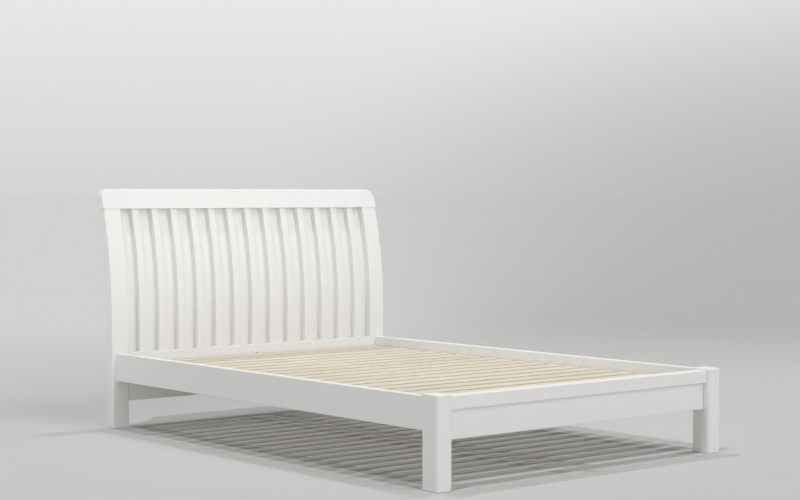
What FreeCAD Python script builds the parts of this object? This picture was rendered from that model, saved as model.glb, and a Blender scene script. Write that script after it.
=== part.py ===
"""A white-painted double bed with a swept headboard, hook-on side rails and a platform of pine slats.

Lengths are millimetres. Seen from the foot, +X runs to the right, +Y from the foot to the head and +Z up.
The origin lies on the floor, in the middle of the bed's overall box.
"""
import FreeCAD, Part
import math
import operator
import os
import types

import Sketcher

SIZES = {
    # What the frame is made for
    "mattress_width": 1400,
    "mattress_length": 2000,
    "mattress_side_gap": 2.5,
    "mattress_end_gap": 22.5,
    "mattress_recess": 43,
    # Headboard
    "head_height": 1030,
    "post_width": 83,
    "post_depth": 48,
    "post_reveal": 23.5,
    "post_top_round": 1.5,
    "head_round": 7,
    "bend_rise": 160.5,
    "bend_radius": 1700,
    "cap_height": 86.5,
    "cap_overhang": 3,
    "cap_corner": 46,
    "cap_lower_round": 2,
    "bar_count": 13,
    "bar_width": 33,
    "bar_set": 6,
    "bar_round": 3,
    "bar_end_gap_share": 0.876,
    "bar_tenon_width": 18,
    "bar_tenon_depth": 16,
    "bar_tenon_length": 14,
    "back_panel_thickness": 8,
    "back_panel_cover": 5,
    "back_panel_groove": 10,
    "head_rail_set": 2,
    "head_rail_rise": 1,
    "head_rail_height": 209,
    "head_rail_round": 3,
    "head_tenon_length": 34,
    "head_tenon_thickness": 14,
    "head_tenon_shoulder": 22,
    "dowel_diameter": 10,
    "dowel_length": 60,
    "dowel_spacing": 40,
    # Foot end
    "leg_width": 69,
    "leg_depth": 84,
    "leg_rise": 7,
    "leg_reveal": 3,
    "leg_front_round": 16,
    "leg_back_round": 5,
    "leg_top_round": 4,
    "sole_round": 3,
    "foot_rail_height": 49,
    "foot_rail_depth": 50,
    "foot_rail_set": 16.5,
    "foot_rail_round": 4,
    "foot_tenon_length": 30,
    "foot_tenon_thickness": 16,
    "foot_tenon_shoulder": 12,
    "foot_panel_height": 103,
    "foot_panel_thickness": 18,
    "foot_panel_set": 30,
    "foot_panel_groove": 9,
    "foot_panel_round": 3,
    # Sides
    "rail_bottom": 203,
    "rail_height": 119.5,
    "rail_thickness": 25,
    "rail_round": 4,
    "ledger_side": 30,
    "ledger_inset": 5,
    "ledger_screw_count": 6,
    "ledger_screw_height": 8,
    "ledger_screw_inset": 60,
    "ledger_screw_length": 44,
    # Platform
    "slat_count": 20,
    "slat_width": 70,
    "slat_thickness": 15,
    "slat_round": 3,
    "slat_side_gap": 2,
    "slat_foot_gap": 56,
    "slat_head_gap": 5,
    "slat_screw_length": 32,
    "beam_width": 40,
    "beam_height": 56,
    "hanger_gauge": 2.5,
    "hanger_flange": 38,
    "hanger_corner": 8,
    "hanger_seat": 45,
    "hanger_screw_drop": 18,
    # Hook-on rail fittings
    "plate_margin": 13,
    "plate_width": 16,
    "plate_gauge": 2.5,
    "plate_screw_inset": 7,
    "lower_hook_share": 0.2,
    "upper_hook_share": 0.6,
    "hook_gauge": 3,
    "hook_height": 16,
    "hook_lip": 7,
    "hook_reach": 12,
    "slot_height": 24,
    # Screws and fits
    "screw_shank": 4,
    "screw_head": 8,
    "short_screw_length": 16,
    "screw_gap": 0.15,
    "joint_gap": 0.3,
    "overrun": 5,
}

doc = FreeCAD.newDocument("wooden_bed")
sheet = doc.addObject("Spreadsheet::Sheet", "sizes")
for row, (alias, number) in enumerate(SIZES.items(), start=1):
    sheet.set(f"A{row}", alias)
    sheet.set(f"B{row}", str(number))
    sheet.setAlias(f"B{row}", alias)
doc.recompute()

SIGNS = {"+": operator.add, "-": operator.sub, "*": operator.mul, "/": operator.truediv}


class Size:
    """A number together with the sheet formula that gives it, so that sums stay bound to the sheet."""

    def __init__(self, formula, value):
        self.formula = formula
        self.value = value

    def join(self, sign, other, swapped=False):
        other = other if isinstance(other, Size) else Size(str(other), other)
        left, right = (other, self) if swapped else (self, other)
        return Size(f"({left.formula} {sign} {right.formula})", SIGNS[sign](left.value, right.value))

    def __add__(self, other):
        return self.join("+", other)

    def __sub__(self, other):
        return self.join("-", other)

    def __mul__(self, other):
        return self.join("*", other)

    def __truediv__(self, other):
        return self.join("/", other)

    def __radd__(self, other):
        return self.join("+", other, swapped=True)

    def __rmul__(self, other):
        return self.join("*", other, swapped=True)

    def __neg__(self):
        return self.join("*", -1)


def root(size):
    """The square root of a size."""
    return Size(f"sqrt({size.formula})", math.sqrt(size.value))


ZERO = Size("0", 0)
S = types.SimpleNamespace(**{name: Size(f"sizes.{name}", float(getattr(sheet, name))) for name in SIZES})

# Widths across the bed, measured from its middle
rail_inner_half = S.mattress_width / 2 + S.mattress_side_gap
rail_outer_half = rail_inner_half + S.rail_thickness
rail_middle_half = rail_inner_half + S.rail_thickness / 2
foot_half = rail_outer_half + S.leg_reveal
head_half = rail_outer_half + S.post_reveal
foot_clear = (foot_half - S.leg_width) * 2
head_clear = (head_half - S.post_width) * 2
cap_half = head_half + S.cap_overhang

# Heights above the floor
rail_top = S.rail_bottom + S.rail_height
slat_top = rail_top - S.mattress_recess
slat_bottom = slat_top - S.slat_thickness
ledger_bottom = slat_bottom - S.ledger_side
beam_bottom = slat_bottom - S.beam_height
head_rail_top = rail_top + S.head_rail_rise
head_rail_bottom = head_rail_top - S.head_rail_height
bend_height = head_rail_top + S.bend_rise
cap_bottom = S.head_height - S.cap_height
leg_height = rail_top + S.leg_rise
foot_rail_bottom = rail_top - S.foot_rail_height
foot_panel_bottom = foot_rail_bottom - S.foot_panel_height


def swept(depth, height):
    """How far behind the posts' foot a surface lies at a height, when it lies a depth behind the front.

    Front and back are concentric arcs about a line behind the headboard, level with the start of the bend.
    """
    radius = S.bend_radius - depth
    rise = height - bend_height
    return S.bend_radius - root(radius * radius - rise * rise)


# Places along the bed: the rounded upper back edge of the cap reaches furthest back
cap_reach = swept(S.post_depth - S.head_round, S.head_height - S.head_round) + S.head_round
frame_length = S.leg_depth + S.mattress_length + S.mattress_end_gap - S.head_rail_set
foot_front = -(frame_length + cap_reach) / 2
head_front = foot_front + frame_length
leg_back = foot_front + S.leg_depth
foot_rail_back = foot_front + S.foot_rail_set + S.foot_rail_depth
head_rail_front = head_front + S.head_rail_set
rail_length = head_front - leg_back

# Headboard bars and panel, measured back from the swept front
bar_depth = S.post_depth - S.bar_set - S.back_panel_thickness - S.back_panel_cover
panel_front = S.bar_set + bar_depth
panel_back = panel_front + S.back_panel_thickness
bar_gap = (head_clear - S.bar_count * S.bar_width) / (S.bar_count - 1 + 2 * S.bar_end_gap_share)
bar_pitch = bar_gap + S.bar_width
first_bar = bar_gap * S.bar_end_gap_share

# Slats, measured from the back of the foot rail
first_slat = foot_rail_back + S.slat_foot_gap
slat_pitch = (head_rail_front - S.slat_head_gap - S.slat_width - first_slat) / (S.slat_count - 1)
slat_length = (rail_inner_half - S.slat_side_gap) * 2

# Rail fittings
plate_height = S.rail_height - S.plate_margin * 2
hook_seats = [plate_height * S.lower_hook_share, plate_height * S.upper_hook_share]
plate_screw_heights = [S.plate_screw_inset, plate_height - S.plate_screw_inset]
screw_hole = S.screw_shank / 2 + S.screw_gap

pieces = []


def place(item, x, y, z):
    """Bind where an object stands."""
    for axis, size in zip("xyz", (x, y, z)):
        item.setExpression(f"Placement.Base.{axis}", size.formula)


def bare_body(label):
    """An empty body at the origin, for a small piece that is copied into a group."""
    body = doc.addObject("PartDesign::Body", label)
    body.Label = label
    return body


def new_body(label, x, y, z):
    """An empty body for one piece, with the piece's own corner at the given place."""
    body = bare_body(label)
    place(body, x, y, z)
    pieces.append(body)
    return body


def origin_feature(body, role):
    return next(feature for feature in body.Origin.OriginFeatures if feature.Role == role)


def new_sketch(body, role, lift):
    """A sketch parallel to one of the body's own planes, shifted towards +X, +Y or +Z."""
    sketch = body.newObject("Sketcher::SketchObject", f"{body.Label}_sketch")
    sketch.AttachmentSupport = [(origin_feature(body, role), "")]
    sketch.MapMode = "FlatFace"
    offset = -lift if role == "XZ_Plane" else lift
    sketch.setExpression("AttachmentOffset.Base.z", offset.formula)
    return sketch


def bind(sketch, kind, *where, size):
    """A driving dimension of a sketch, bound to the sheet."""
    index = sketch.addConstraint(Sketcher.Constraint(kind, *where, size.value))
    sketch.setExpression(f"Constraints[{index}]", size.formula)


def bind_point(sketch, line, end, x, y):
    bind(sketch, "DistanceX", line, end, size=x)
    bind(sketch, "DistanceY", line, end, size=y)


def draw_rectangle(sketch, x, y, width, height):
    corners = [(x, y), (x + width, y), (x + width, y + height), (x, y + height)]
    points = [FreeCAD.Vector(a.value, b.value, 0) for a, b in corners]
    for start, end in zip(points, points[1:] + points[:1]):
        sketch.addGeometry(Part.LineSegment(start, end))
    for line, direction in enumerate(("Horizontal", "Vertical", "Horizontal", "Vertical")):
        sketch.addConstraint(Sketcher.Constraint("Coincident", line, 2, (line + 1) % 4, 1))
        sketch.addConstraint(Sketcher.Constraint(direction, line))
    bind_point(sketch, 0, 1, x, y)
    bind(sketch, "DistanceX", 0, 1, 0, 2, size=width)
    bind(sketch, "DistanceY", 1, 1, 1, 2, size=height)


def draw_polygon(sketch, corners):
    points = [FreeCAD.Vector(x.value, y.value, 0) for x, y in corners]
    for start, end in zip(points, points[1:] + points[:1]):
        sketch.addGeometry(Part.LineSegment(start, end))
    for line, (x, y) in enumerate(corners):
        sketch.addConstraint(Sketcher.Constraint("Coincident", line, 2, (line + 1) % len(corners), 1))
        bind_point(sketch, line, 1, x, y)


def draw_circles(sketch, centres, radius):
    for index, (x, y) in enumerate(centres):
        middle = FreeCAD.Vector(x.value, y.value, 0)
        sketch.addGeometry(Part.Circle(middle, FreeCAD.Vector(0, 0, 1), radius.value))
        bind(sketch, "Radius", index, size=radius)
        bind_point(sketch, index, 3, x, y)


def arc_between(centre, start, end):
    """The arc about a centre that runs anticlockwise from one point to another."""
    radius = (start - centre).Length
    angles = [math.atan2(point.y - centre.y, point.x - centre.x) % math.tau for point in (start, end)]
    return Part.ArcOfCircle(Part.Circle(centre, FreeCAD.Vector(0, 0, 1), radius), *angles)


def draw_swept_band(sketch, front, back, low, high):
    """The side view of a swept board: concentric front and back arcs, level ends, straight below the bend.

    The arcs start on a line level with their centre, so each leaves its upright tangentially.
    """
    straight = low.value < bend_height.value
    knee = bend_height if straight else low
    centre = FreeCAD.Vector(S.bend_radius.value, bend_height.value, 0)

    def point(depth, height):
        return FreeCAD.Vector(swept(depth, height).value, height.value, 0)

    # Geometry 0 and 1 are the arcs, 2 is the level top, and the rest closes the outline below
    sketch.addGeometry(arc_between(centre, point(front, high), point(front, knee)))
    sketch.addGeometry(arc_between(centre, point(back, high), point(back, knee)))
    sketch.addGeometry(Part.LineSegment(point(front, high), point(back, high)))
    sketch.addConstraint(Sketcher.Constraint("Coincident", 0, 1, 2, 1))
    sketch.addConstraint(Sketcher.Constraint("Coincident", 1, 1, 2, 2))
    sketch.addConstraint(Sketcher.Constraint("Coincident", 0, 3, 1, 3))
    sketch.addConstraint(Sketcher.Constraint("Horizontal", 2))
    bind_point(sketch, 0, 3, S.bend_radius, bend_height)
    bind(sketch, "DistanceY", 2, 1, size=high)
    if straight:
        foot_points = [FreeCAD.Vector(depth.value, low.value, 0) for depth in (front, back)]
        sketch.addGeometry(Part.LineSegment(point(front, knee), foot_points[0]))
        sketch.addGeometry(Part.LineSegment(foot_points[0], foot_points[1]))
        sketch.addGeometry(Part.LineSegment(foot_points[1], point(back, knee)))
        sketch.addConstraint(Sketcher.Constraint("Coincident", 0, 2, 3, 1))
        sketch.addConstraint(Sketcher.Constraint("Coincident", 3, 2, 4, 1))
        sketch.addConstraint(Sketcher.Constraint("Coincident", 4, 2, 5, 1))
        sketch.addConstraint(Sketcher.Constraint("Coincident", 5, 2, 1, 2))
        bind_point(sketch, 3, 1, front, knee)
        bind_point(sketch, 4, 1, front, low)
        bind_point(sketch, 5, 1, back, low)
        bind_point(sketch, 1, 2, back, knee)
    else:
        sketch.addGeometry(Part.LineSegment(point(front, low), point(back, low)))
        sketch.addConstraint(Sketcher.Constraint("Coincident", 0, 2, 3, 1))
        sketch.addConstraint(Sketcher.Constraint("Coincident", 1, 2, 3, 2))
        sketch.addConstraint(Sketcher.Constraint("Horizontal", 3))
        bind(sketch, "Radius", 0, size=S.bend_radius - front)
        bind(sketch, "Radius", 1, size=S.bend_radius - back)
        bind(sketch, "DistanceY", 3, 1, size=low)


def extrude(body, kind, sketch, length, reverse=False):
    """A pad along the sketch's normal, or a pocket against it; reverse turns either round."""
    volume = body.Shape.Volume if body.Tip else 0
    feature = body.newObject(f"PartDesign::{kind}", f"{body.Label}_{kind.lower()}")
    feature.Profile = (sketch, [""])
    feature.Reversed = reverse
    feature.setExpression("Length", length.formula)
    doc.recompute()
    if math.isclose(body.Shape.Volume, volume, rel_tol=1e-9):
        raise RuntimeError(f"{feature.Label} changed nothing")
    return feature


def add_block(body, corner, size):
    """A rectangular block from its low corner and its three sides."""
    sketch = new_sketch(body, "XY_Plane", corner[2])
    draw_rectangle(sketch, corner[0], corner[1], size[0], size[1])
    return extrude(body, "Pad", sketch, size[2])


def cut_block(body, corner, size):
    """A rectangular notch from its low corner and its three sides."""
    sketch = new_sketch(body, "XY_Plane", corner[2])
    draw_rectangle(sketch, corner[0], corner[1], size[0], size[1])
    return extrude(body, "Pocket", sketch, size[2], reverse=True)


def bore(body, role, lift, centres, radius, depth, reverse=False):
    """Round holes towards -X, +Y or -Z from a plane parallel to YZ, XZ or XY."""
    sketch = new_sketch(body, role, lift)
    draw_circles(sketch, centres, radius)
    return extrude(body, "Pocket", sketch, depth, reverse)


def countersink(body, role, lift, centres, depth, reverse=False):
    """Screw holes with conical seats, drilled in the same directions as bore."""
    sketch = new_sketch(body, role, lift)
    draw_circles(sketch, centres, screw_hole)
    doc.recompute()
    hole = body.newObject("PartDesign::Hole", f"{body.Label}_hole")
    hole.Profile = (sketch, [""])
    doc.recompute()
    hole.Reversed = reverse
    hole.DepthType = "Dimension"
    hole.DrillPoint = "Flat"
    hole.HoleCutType = "Countersink"
    hole.HoleCutCountersinkAngle = 90
    hole.setExpression("Diameter", (screw_hole * 2).formula)
    hole.setExpression("HoleCutDiameter", (S.screw_head + S.screw_gap * 2).formula)
    hole.setExpression("Depth", depth.formula)
    doc.recompute()
    return hole


def repeat(body, feature, axis, count, pitch):
    """Copies of a feature in a row."""
    pattern = body.newObject("PartDesign::LinearPattern", f"{body.Label}_row")
    pattern.Originals = [feature]
    pattern.Direction = (origin_feature(body, axis), [""])
    pattern.Mode = "Spacing"
    pattern.setExpression("Offset", pitch.formula)
    pattern.setExpression("Occurrences", count.formula)
    body.Tip = pattern
    doc.recompute()


def ease(body, radius, wanted):
    """Round the edges that pass the test."""
    doc.recompute()
    base = body.Tip
    names = [f"Edge{number}" for number, edge in enumerate(base.Shape.Edges, start=1) if wanted(edge)]
    fillet = body.newObject("PartDesign::Fillet", f"{body.Label}_round")
    fillet.Base = (base, names)
    fillet.setExpression("Radius", radius.formula)
    doc.recompute()


def at(number, size):
    """Whether a coordinate lies at a size."""
    return math.isclose(number, size.value, abs_tol=S.overrun.value / 1000)


def runs_along(edge, axis):
    """Whether an edge reaches further along one axis than along the others."""
    box = edge.BoundBox
    reach = {"X": box.XLength, "Y": box.YLength, "Z": box.ZLength}
    return max(reach, key=reach.get) == axis


def lies_behind(edge, depth):
    """Whether an edge lies that depth behind the swept front of the posts."""
    radius = S.bend_radius.value
    rises = [(point.Y, max(point.Z - bend_height.value, 0)) for point in edge.Vertexes]
    return all(at(radius - math.hypot(radius - y, rise), depth) for y, rise in rises)


def mirrored(label, source):
    """The same piece for the right-hand side."""
    mirror = doc.addObject("Part::Mirroring", label)
    mirror.Label = label
    mirror.Source = source
    mirror.Normal = FreeCAD.Vector(1, 0, 0)
    pieces.append(mirror)


def copies(label, pattern, places):
    """A group of separate copies of one small piece, each at a point and turned about an axis."""
    doc.recompute()
    solids = []
    for point, axis, angle in places:
        solid = pattern.Shape.copy()
        spot = FreeCAD.Vector(*(size.value for size in point))
        solid.Placement = FreeCAD.Placement(spot, FreeCAD.Rotation(FreeCAD.Vector(*axis), angle))
        solids.append(solid)
    group = doc.addObject("Part::Feature", label)
    group.Label = label
    group.Shape = Part.makeCompound(solids)
    pieces.append(group)


def new_screw(name, length):
    """A countersunk screw hanging head-up from the origin: a cone over a plain shank, tip down."""
    cone_height = (S.screw_head - S.screw_shank) / 2
    head = doc.addObject("Part::Cone", f"{name}_head")
    head.setExpression("Radius1", (S.screw_shank / 2).formula)
    head.setExpression("Radius2", (S.screw_head / 2).formula)
    head.setExpression("Height", cone_height.formula)
    place(head, ZERO, ZERO, -cone_height)
    shank = doc.addObject("Part::Cylinder", f"{name}_shank")
    shank.setExpression("Radius", (S.screw_shank / 2).formula)
    shank.setExpression("Height", (length - cone_height).formula)
    place(shank, ZERO, ZERO, -length)
    screw = doc.addObject("Part::Fuse", name)
    screw.Base = head
    screw.Tool = shank
    return screw


def seat_slot_plate(body, middle, face, into_y):
    """Let a slot plate into an upright face: its recess, the two hook mortises and the screw holes."""
    base = S.rail_bottom + S.plate_margin
    half = S.plate_width / 2 + S.joint_gap
    depth = S.hook_reach + S.joint_gap
    hook_half = S.hook_gauge / 2 + S.joint_gap
    recess_start = face if into_y else face - S.plate_gauge
    mortise_start = face if into_y else face - depth
    cut_block(body, (middle - half, recess_start, base - S.joint_gap),
              (half * 2, S.plate_gauge, plate_height + S.joint_gap * 2))
    for seat in hook_seats:
        low = base + seat - S.hook_lip - S.joint_gap
        cut_block(body, (middle - hook_half, mortise_start, low),
                  (hook_half * 2, depth, S.slot_height + S.hook_lip + S.joint_gap * 2))
    bore(body, "XZ_Plane", face, [(middle, base + height) for height in plate_screw_heights], screw_hole,
         S.short_screw_length + S.joint_gap, reverse=not into_y)


def make_posts():
    """The left post stands on its outer face; the right one mirrors it."""
    post = new_body("head_post_left", -head_half, head_front, ZERO)
    sketch = new_sketch(post, "YZ_Plane", ZERO)
    draw_swept_band(sketch, ZERO, S.post_depth, ZERO, cap_bottom)
    extrude(post, "Pad", sketch, S.post_width)
    ease(post, S.head_round, lambda edge: runs_along(edge, "Z"))
    ease(post, S.post_top_round, lambda edge: at(edge.BoundBox.ZMin, cap_bottom))
    ease(post, S.sole_round, lambda edge: at(edge.BoundBox.ZMax, ZERO))
    # Mortise for the head rail's tenon
    depth = S.head_tenon_length + S.joint_gap
    rail_depth = S.post_depth - S.head_rail_set
    tenon_front = S.head_rail_set + (rail_depth - S.head_tenon_thickness) / 2
    cut_block(post, (S.post_width - depth, tenon_front - S.joint_gap,
                     head_rail_bottom + S.head_tenon_shoulder - S.joint_gap),
              (depth, S.head_tenon_thickness + S.joint_gap * 2,
               S.head_rail_height - S.head_tenon_shoulder * 2 + S.joint_gap * 2))
    # Groove for the edge of the back panel
    groove = new_sketch(post, "YZ_Plane", S.post_width - S.back_panel_groove)
    draw_swept_band(groove, panel_front - S.joint_gap, panel_back + S.joint_gap,
                    head_rail_top - S.back_panel_groove, cap_bottom)
    extrude(post, "Pocket", groove, S.back_panel_groove + S.overrun, reverse=True)
    seat_slot_plate(post, S.post_reveal + S.rail_thickness / 2, ZERO, into_y=True)
    bore(post, "XY_Plane", cap_bottom, dowel_centres(), S.dowel_diameter / 2 + S.screw_gap,
         (S.dowel_length + S.joint_gap) / 2)
    mirrored("head_post_right", post)


def dowel_centres():
    """The two dowels in the top of a post, seen from above and measured from its outer foot."""
    middle = (swept(ZERO, cap_bottom) + swept(S.post_depth, cap_bottom)) / 2
    return [(S.post_width / 2 + S.dowel_spacing * side / 2, middle) for side in (-1, 1)]


def upper_tenon_front():
    """The front of a bar's upper stub tenon, which is centred in the bar's depth under the cap."""
    middle = (swept(S.bar_set, cap_bottom) + swept(panel_front, cap_bottom)) / 2
    return middle - S.bar_tenon_depth / 2


def lower_tenon_front():
    """The front of a bar's lower stub tenon, which is centred in the bar's depth."""
    return S.bar_set + (bar_depth - S.bar_tenon_depth) / 2


def make_cap():
    """The swept cap lies on the posts, a little past their outer and front faces.

    It takes the tops of the bars and the panel, and the dowels.
    """
    cap = new_body("head_cap", -cap_half, head_front, ZERO)
    sketch = new_sketch(cap, "YZ_Plane", ZERO)
    draw_swept_band(sketch, -S.cap_overhang, S.post_depth, cap_bottom, S.head_height)
    extrude(cap, "Pad", sketch, cap_half * 2)
    ease(cap, S.cap_corner, lambda edge: runs_along(edge, "Y") and at(edge.BoundBox.ZMin, S.head_height))
    ease(cap, S.head_round, lambda edge: not runs_along(edge, "Y") and edge.BoundBox.ZMin >= cap_bottom.value
         and not at(edge.BoundBox.ZMax, cap_bottom))
    ease(cap, S.cap_lower_round, lambda edge: at(edge.BoundBox.ZMax, cap_bottom))
    inside = S.cap_overhang + S.post_width
    groove = new_sketch(cap, "YZ_Plane", inside - S.back_panel_groove)
    draw_swept_band(groove, panel_front - S.joint_gap, panel_back + S.joint_gap,
                    cap_bottom, cap_bottom + S.back_panel_groove)
    extrude(cap, "Pocket", groove, head_clear + S.back_panel_groove * 2, reverse=True)
    mortise = cut_block(cap, (inside + first_bar + (S.bar_width - S.bar_tenon_width) / 2 - S.joint_gap,
                              upper_tenon_front() - S.joint_gap, cap_bottom),
                        (S.bar_tenon_width + S.joint_gap * 2, S.bar_tenon_depth + S.joint_gap * 2,
                         S.bar_tenon_length + S.joint_gap))
    repeat(cap, mortise, "X_Axis", S.bar_count, bar_pitch)
    centres = [(S.cap_overhang + x, y) for x, y in dowel_centres()]
    centres += [(cap_half * 2 - x, y) for x, y in centres]
    bore(cap, "XY_Plane", cap_bottom, centres, S.dowel_diameter / 2 + S.screw_gap,
         (S.dowel_length + S.joint_gap) / 2, reverse=True)


def make_dowels():
    dowel = doc.addObject("Part::Cylinder", "dowel")
    dowel.setExpression("Radius", (S.dowel_diameter / 2).formula)
    dowel.setExpression("Height", S.dowel_length.formula)
    places = []
    for x, y in dowel_centres():
        for across in (x - head_half, head_half - x):
            places.append(((across, head_front + y, cap_bottom - S.dowel_length / 2), (0, 0, 1), 0))
    copies("cap_dowels", dowel, places)


def make_head_rail():
    """The deep lower rail, tenoned into the posts, carries the bars, the panel and the beam's hanger."""
    reach = S.head_tenon_length
    rail = new_body("head_rail", -head_clear / 2 - reach, head_rail_front, head_rail_bottom)
    depth = S.post_depth - S.head_rail_set
    add_block(rail, (reach, ZERO, ZERO), (head_clear, depth, S.head_rail_height))
    ease(rail, S.head_rail_round, lambda edge: runs_along(edge, "X") and at(edge.BoundBox.YMax, ZERO))
    add_block(rail, (ZERO, (depth - S.head_tenon_thickness) / 2, S.head_tenon_shoulder),
              (head_clear + reach * 2, S.head_tenon_thickness,
               S.head_rail_height - S.head_tenon_shoulder * 2))
    groove_floor = S.head_rail_height - S.back_panel_groove
    cut_block(rail, (reach, panel_front - S.head_rail_set - S.joint_gap, groove_floor),
              (head_clear, S.back_panel_thickness + S.joint_gap * 2, S.back_panel_groove + S.overrun))
    mortise = cut_block(rail, (reach + first_bar + (S.bar_width - S.bar_tenon_width) / 2 - S.joint_gap,
                               lower_tenon_front() - S.head_rail_set - S.joint_gap,
                               S.head_rail_height - S.bar_tenon_length - S.joint_gap),
                        (S.bar_tenon_width + S.joint_gap * 2, S.bar_tenon_depth + S.joint_gap * 2,
                         S.bar_tenon_length + S.overrun))
    repeat(rail, mortise, "X_Axis", S.bar_count, bar_pitch)
    bore(rail, "XZ_Plane", ZERO, [(reach + head_clear / 2, hanger_screw_height() - head_rail_bottom)],
         screw_hole, S.short_screw_length + S.joint_gap)


def make_bars():
    """Swept bars, each with a stub tenon at both ends."""
    for number in range(int(S.bar_count.value)):
        left = first_bar + bar_pitch * number - head_clear / 2
        bar = new_body(f"headboard_bar_{number + 1:02d}", left, head_front, ZERO)
        sketch = new_sketch(bar, "YZ_Plane", ZERO)
        draw_swept_band(sketch, S.bar_set, panel_front, head_rail_top, cap_bottom)
        extrude(bar, "Pad", sketch, S.bar_width)
        ease(bar, S.bar_round, lambda edge: runs_along(edge, "Z") and lies_behind(edge, S.bar_set))
        side = (S.bar_width - S.bar_tenon_width) / 2
        tenon = (S.bar_tenon_width, S.bar_tenon_depth, S.bar_tenon_length)
        add_block(bar, (side, lower_tenon_front(), head_rail_top - S.bar_tenon_length), tenon)
        add_block(bar, (side, upper_tenon_front(), cap_bottom), tenon)


def make_back_panel():
    """The thin swept panel stands in grooves all round, just behind the bars."""
    hidden = S.back_panel_groove - S.joint_gap
    panel = new_body("headboard_panel", -head_clear / 2 - hidden, head_front, ZERO)
    sketch = new_sketch(panel, "YZ_Plane", ZERO)
    draw_swept_band(sketch, panel_front, panel_back, head_rail_top - S.back_panel_groove, cap_bottom + hidden)
    extrude(panel, "Pad", sketch, head_clear + hidden * 2)


def make_legs():
    """The left leg stands on its outer front corner; the right one mirrors it."""
    leg = new_body("foot_leg_left", -foot_half, foot_front, ZERO)
    add_block(leg, (ZERO, ZERO, ZERO), (S.leg_width, S.leg_depth, leg_height))
    ease(leg, S.leg_front_round, lambda edge: runs_along(edge, "Z") and at(edge.BoundBox.YMin, ZERO))
    ease(leg, S.leg_back_round, lambda edge: runs_along(edge, "Z") and at(edge.BoundBox.YMin, S.leg_depth))
    ease(leg, S.leg_top_round, lambda edge: at(edge.BoundBox.ZMin, leg_height))
    ease(leg, S.sole_round, lambda edge: at(edge.BoundBox.ZMax, ZERO))
    # Mortise for the foot rail's tenon, and the groove for the foot panel below it
    depth = S.foot_tenon_length + S.joint_gap
    tenon_front = S.foot_rail_set + (S.foot_rail_depth - S.foot_tenon_thickness) / 2
    cut_block(leg, (S.leg_width - depth, tenon_front - S.joint_gap,
                    foot_rail_bottom + S.foot_tenon_shoulder - S.joint_gap),
              (depth, S.foot_tenon_thickness + S.joint_gap * 2,
               S.foot_rail_height - S.foot_tenon_shoulder * 2 + S.joint_gap * 2))
    cut_block(leg, (S.leg_width - S.foot_panel_groove, S.foot_panel_set - S.joint_gap, foot_panel_bottom),
              (S.foot_panel_groove, S.foot_panel_thickness + S.joint_gap * 2,
               S.foot_panel_height + S.foot_panel_groove))
    seat_slot_plate(leg, S.leg_reveal + S.rail_thickness / 2, S.leg_depth, into_y=False)
    mirrored("foot_leg_right", leg)


def make_foot_rail():
    """The thick upper rail, tenoned into the legs and grooved below for the foot panel."""
    reach = S.foot_tenon_length
    rail = new_body("foot_rail", -foot_clear / 2 - reach, foot_front + S.foot_rail_set, foot_rail_bottom)
    add_block(rail, (reach, ZERO, ZERO), (foot_clear, S.foot_rail_depth, S.foot_rail_height))
    ease(rail, S.foot_rail_round, lambda edge: runs_along(edge, "X"))
    add_block(rail, (ZERO, (S.foot_rail_depth - S.foot_tenon_thickness) / 2, S.foot_tenon_shoulder),
              (foot_clear + reach * 2, S.foot_tenon_thickness,
               S.foot_rail_height - S.foot_tenon_shoulder * 2))
    cut_block(rail, (reach, S.foot_panel_set - S.foot_rail_set - S.joint_gap, ZERO),
              (foot_clear, S.foot_panel_thickness + S.joint_gap * 2, S.foot_panel_groove))
    bore(rail, "XZ_Plane", S.foot_rail_depth,
         [(reach + foot_clear / 2, hanger_screw_height() - foot_rail_bottom)],
         screw_hole, S.short_screw_length + S.joint_gap, reverse=True)


def make_foot_panel():
    hidden = S.foot_panel_groove - S.joint_gap
    panel = new_body("foot_panel", -foot_clear / 2 - hidden, foot_front + S.foot_panel_set, foot_panel_bottom)
    add_block(panel, (ZERO, ZERO, ZERO),
              (foot_clear + hidden * 2, S.foot_panel_thickness, S.foot_panel_height + S.foot_panel_groove))
    ease(panel, S.foot_panel_round, lambda edge: runs_along(edge, "X") and at(edge.BoundBox.ZMax, ZERO))


def ledger_screw_pitch():
    return (rail_length - S.ledger_inset * 2 - S.ledger_screw_inset * 2) / (S.ledger_screw_count - 1)


def make_side_rails():
    """The left rail lies between leg and post; hook plates are let into both its ends."""
    rail = new_body("side_rail_left", -rail_outer_half, leg_back, S.rail_bottom)
    add_block(rail, (ZERO, ZERO, ZERO), (S.rail_thickness, rail_length, S.rail_height))
    ease(rail, S.rail_round, lambda edge: runs_along(edge, "Y"))
    half = S.plate_width / 2 + S.joint_gap
    middle = S.rail_thickness / 2
    centres = [(middle, S.plate_margin + height) for height in plate_screw_heights]
    for end, start, backwards in ((ZERO, ZERO, False), (rail_length, rail_length - S.plate_gauge, True)):
        cut_block(rail, (middle - half, start, S.plate_margin - S.joint_gap),
                  (half * 2, S.plate_gauge, plate_height + S.joint_gap * 2))
        bore(rail, "XZ_Plane", end, centres, screw_hole, S.short_screw_length + S.joint_gap, backwards)
    height = ledger_bottom + S.ledger_screw_height - S.rail_bottom
    pilot = bore(rail, "YZ_Plane", S.rail_thickness, [(S.ledger_inset + S.ledger_screw_inset, height)],
                 screw_hole, S.ledger_screw_length - S.ledger_side + S.joint_gap)
    repeat(rail, pilot, "Y_Axis", S.ledger_screw_count, ledger_screw_pitch())
    mirrored("side_rail_right", rail)


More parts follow.
